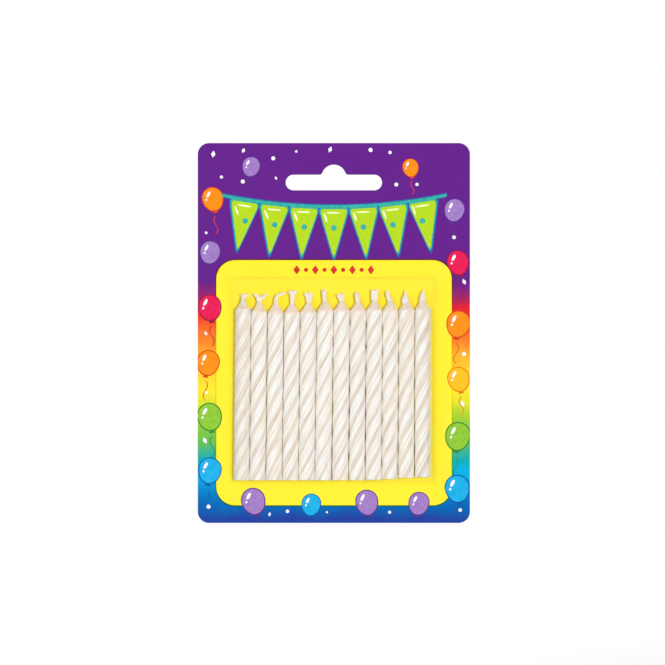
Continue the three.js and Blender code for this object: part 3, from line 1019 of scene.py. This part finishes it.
wickLook = {
    "radius": 0.6 * mm,
    "plies": 3,
    "plyLead": 3 * mm,
    "steps": 18,
    "plyAway": 0.46,  # its distance from the strand's middle and its radius, beside the strand's
    "plyRadius": 0.6,
    "plyUneven": 0.08,
    "loose": 0.25,  # how much further apart the plies are at the tip, and from which share on
    "looseFrom": 0.75,
    "rootSwell": 1.15,  # every strand's root, beside the figures below
    "strandDepth": 0.25,  # how far in mm a strand may stand forward or back
    "fibres": 14,
    "fibreRadius": 0.05 * mm,  # coarser than real cotton, to show
    "fibreFrom": 0.66,  # share of the strand from which on fibres stand out
    "fibreLength": (0.35, 0.8),  # mm
    "fibreBend": 0.2 * mm,
    "coreUp": 0.25 * mm,  # how far the plain wick stands out of the cone under its strands
    "coreEdge": 0.2 * mm,
    "seed": 4,
    # each wick's strands in mm: radius at root and tip, then points to the right and up from the cone's top
    "strands": [
        [(0.54, 0.5, [(0, 0.77), (0.25, 1.25), (0.92, 1.48), (1.72, 1.4)]),
         (0.42, 0.38, [(-0.15, 0.8), (-0.3, 1.5)])],
        [(0.6, 0.56, [(0.36, 1), (0.94, 1.72), (1.66, 2.26), (2.2, 2.5)]),
         (0.6, 0.52, [(-0.31, 1), (-0.52, 1.72), (-0.94, 2.26), (-1.2, 2.5)]),
         (0.6, 0.58, [(0.14, 0.9), (0.5, 1.8)]), (0.6, 0.58, [(-0.08, 0.9), (-0.24, 1.8)]),
         (0.5, 0.5, [(0.05, 0.9), (0.1, 1.8)])],
        [(0.62, 0.36, [(0, 1.15), (0.08, 1.92), (0.48, 2.59), (1.4, 3.12), (2.5, 3.46), (3.05, 3.6)])],
        [(0.56, 0.46, [(-0.14, 1.21), (-0.2, 2.55), (-0.34, 3.8), (-0.75, 4.05), (-0.86, 3.5)]),
         (0.56, 0.46, [(0.24, 1.21), (0.3, 2.55), (0.48, 3.85), (0.9, 4.08), (1.02, 3.42)])],
        [(0.56, 0.54, [(-0.3, 1.19), (-0.6, 2.34), (-1, 3.2)]), (0.54, 0.5, [(-0.1, 1.2), (-0.36, 3.15)]),
         (0.56, 0.54, [(0.5, 1.19), (0.72, 2.34), (0.86, 3.2)]), (0.54, 0.5, [(0.15, 1.3), (0.3, 3.15)])],
        [(0.66, 0.62, [(-0.25, 1.07), (-0.42, 2.2), (-0.42, 3.1), (-0.38, 3.7)]),
         (0.52, 0.5, [(-0.34, 1.4), (-0.56, 2.7), (-0.86, 3.6)]),
         (0.52, 0.5, [(-0.2, 1.4), (-0.24, 2.7), (0.06, 3.65)])],
        [(0.56, 0.5, [(-0.5, 0.88), (-0.95, 1.65), (-1.36, 2.2)]),
         (0.58, 0.52, [(0.15, 0.88), (0.25, 1.75), (0.32, 2.3)]),
         (0.52, 0.5, [(-0.25, 1), (-0.52, 2.15)]), (0.5, 0.48, [(-0.1, 1), (-0.15, 2.2)])],
        [(0.74, 0.72, [(-0.25, 0.9), (-0.4, 2), (-0.42, 2.75)])],
        [(0.58, 0.56, [(-0.45, 0.6), (-0.56, 1.5), (-0.6, 2.8), (-0.7, 3.6)]),
         (0.58, 0.56, [(0.45, 0.6), (0.58, 1.5), (0.66, 2.8), (0.82, 3.6)]),
         (0.42, 0.4, [(0.02, 0.6), (0.03, 2.2), (0.06, 3.5)])],
        [(0.72, 0.7, [(-0.42, 0.79), (-0.82, 1.75), (-1.05, 2.6), (-1.1, 3.1)])],
        [(0.6, 0.26, [(-0.5, 1), (-0.56, 1.98), (-0.48, 3.3)])],
        [(0.8, 0.26, [(-0.1, 0.5), (0, 1.2), (0.1, 2.1), (0.26, 3.2)])],
    ],
    # roots swollen with wax, by candle, in mm: place right and up from the cone, half width, half height
    "soaked": {10: (-0.5, 0.35, 1.35, 1.8), 11: (-0.1, 0.4, 1.2, 2.3)},
    # above these shares of its half height: width and height beside a ball's
    "soakedShape": [(0, 0.8, 1.15), (0.6, 0.72, 1.1)],
    "soakedDepth": 0.85,  # beside its width
    "lumpSize": 0.9 * mm,
    "lumpHeight": 0.3 * mm,
}


# A smooth way through points: the place and direction at a share of it
def alongRoute(points, share):
    run = share * (len(points) - 1)
    first = min(int(run), len(points) - 2)
    t = run - first
    a, b = points[first], points[first + 1]
    before = points[first - 1] if first else a * 2 - b
    after = points[first + 2] if first + 2 < len(points) else b * 2 - a
    place = 0.5 * (2 * a + (b - before) * t + (2 * before - 5 * a + 4 * b - after) * t ** 2
                   + (3 * a - before - 3 * b + after) * t ** 3)
    way = 0.5 * ((b - before) + 2 * (2 * before - 5 * a + 4 * b - after) * t
                 + 3 * (3 * a - before - 3 * b + after) * t ** 2)
    return place, way.normalized()


def addThread(curve, points, radii):
    spline = curve.splines.new("POLY")
    spline.points.add(len(points) - 1)
    for point, place, radius in zip(spline.points, points, radii):
        point.co = (*place, 1)
        point.radius = radius


def addStrand(curve, coneTop, root, tip, strand, dice):
    look = wickLook
    root, tip = root * mm, tip * mm
    depth = dice.uniform(-look["strandDepth"], look["strandDepth"]) * mm
    points = [Vector((0, 0, coneTop - look["radius"])), Vector((0, 0, coneTop))]
    points += [Vector((x * mm, depth, coneTop + z * mm)) for x, z in strand]
    length = sum((b - a).length for a, b in zip(points, points[1:]))
    start = dice.uniform(0, 2 * math.pi)
    for ply in range(look["plies"]):
        places, radii = [], []
        for step in range(look["steps"] + 1):
            share = step / look["steps"]
            place, way = alongRoute(points, share)
            side = Vector((way.z, 0, -way.x)).normalized()
            radius = root + (tip - root) * share
            angle = start + 2 * math.pi * (ply / look["plies"] + share * length / look["plyLead"])
            loose = look["loose"] * max(share - look["looseFrom"], 0) / (1 - look["looseFrom"])
            off = look["plyAway"] * radius * (1 + loose)
            places.append(place + off * (math.cos(angle) * side + Vector((0, math.sin(angle), 0))))
            uneven = dice.uniform(1 - look["plyUneven"], 1 + look["plyUneven"])
            radii.append(look["plyRadius"] * radius * uneven)
        addThread(curve, places, radii)
    for _ in range(look["fibres"]):
        share = dice.uniform(look["fibreFrom"], 1)
        place, way = alongRoute(points, share)
        out = Vector((dice.uniform(-1, 1), dice.uniform(-1, 1), dice.uniform(-0.4, 1))).normalized()
        reach = dice.uniform(*look["fibreLength"]) * mm
        bend = Vector((dice.uniform(-1, 1), 0, dice.uniform(-0.5, 1))) * look["fibreBend"]
        foot = place + 0.7 * tip * out
        heading = 0.75 * way + 0.4 * out
        route = [foot - 0.4 * tip * out, foot, foot + 0.5 * reach * heading, foot + reach * heading + bend]
        addThread(curve, route, [look["fibreRadius"]] * 3 + [0.5 * look["fibreRadius"]])


# The lumpy root of a wick that is soaked and swollen with wax
def makeSoaked(coneTop, place, material):
    look = wickLook
    aside, up, halfWidth, halfHeight = (size * mm for size in place)
    piece = addForm(bpy.ops.mesh.primitive_ico_sphere_add, subdivisions=4, radius=1)
    for height, wide, high in look["soakedShape"]:
        resizeCorners(piece, lambda co: co.z > height, (wide, wide, high), (0, 0, height))
    piece.scale = (halfWidth, look["soakedDepth"] * halfWidth, halfHeight)
    piece.location = (aside, 0, coneTop + up)
    settle()
    lumps = bpy.data.textures.new("lumps", "CLOUDS")
    lumps.noise_scale = look["lumpSize"]
    applyModifier(piece, "DISPLACE", {"texture": lumps, "texture_coords": "LOCAL",
                  "strength": look["lumpHeight"], "mid_level": 0.5})
    piece.data.materials.append(material)
    return piece


def makeWick(number, cotton, dice):
    look = wickLook
    label = f"{number + 1:02d}"
    name = "cottonWick_" + label
    coneTop = waxCandle["bodyHeight"] + row["candles"][number][3] * mm + waxCandle["cone"][-1][0]
    curve = bpy.data.curves.new(name, "CURVE")
    curve.dimensions = "3D"
    curve.bevel_mode = "ROUND"
    curve.bevel_depth = 1
    curve.bevel_resolution = 2
    curve.use_fill_caps = True
    for root, tip, strand in look["strands"][number]:
        addStrand(curve, coneTop, root * look["rootSwell"], tip, strand, dice)
    takeUp(newObject(name, curve))
    bpy.ops.object.convert(target="MESH")
    tips = bpy.context.object
    tips.data.materials.append(cotton)
    height = coneTop + look["coreUp"]
    core = addForm(bpy.ops.mesh.primitive_cylinder_add, vertices=20, radius=look["radius"], depth=height,
                   location=(0, 0, height / 2))
    settle()
    roundOff(core, "EDGE", lambda a, b: min(a.z, b.z) > height - tiny, look["coreEdge"], 3)
    core.data.materials.append(cotton)
    parts = [tips, core]
    if number in look["soaked"]:
        parts.append(makeSoaked(coneTop, look["soaked"][number], cotton))
    piece = joinPieces(parts)
    smoothBelow(piece, 50)
    piece.data.transform(candlePlace(number))
    finishPiece(piece, name, "candle_" + label, "cotton_wick", [], "candle_wick_" + label)


setCamera()
setLight()
setFloor()
print("stage: camera, light and floor")
makeCard()
print("stage: card")
makePrint()
print("stage: print")
makeWaxCandles(paraffin())
print("stage: candles")
cotton = cottonCord()
wickDice = random.Random(wickLook["seed"])
for place in range(candleCount):
    makeWick(place, cotton, wickDice)
print("stage: wicks")
makeCover()
print("stage: cover")
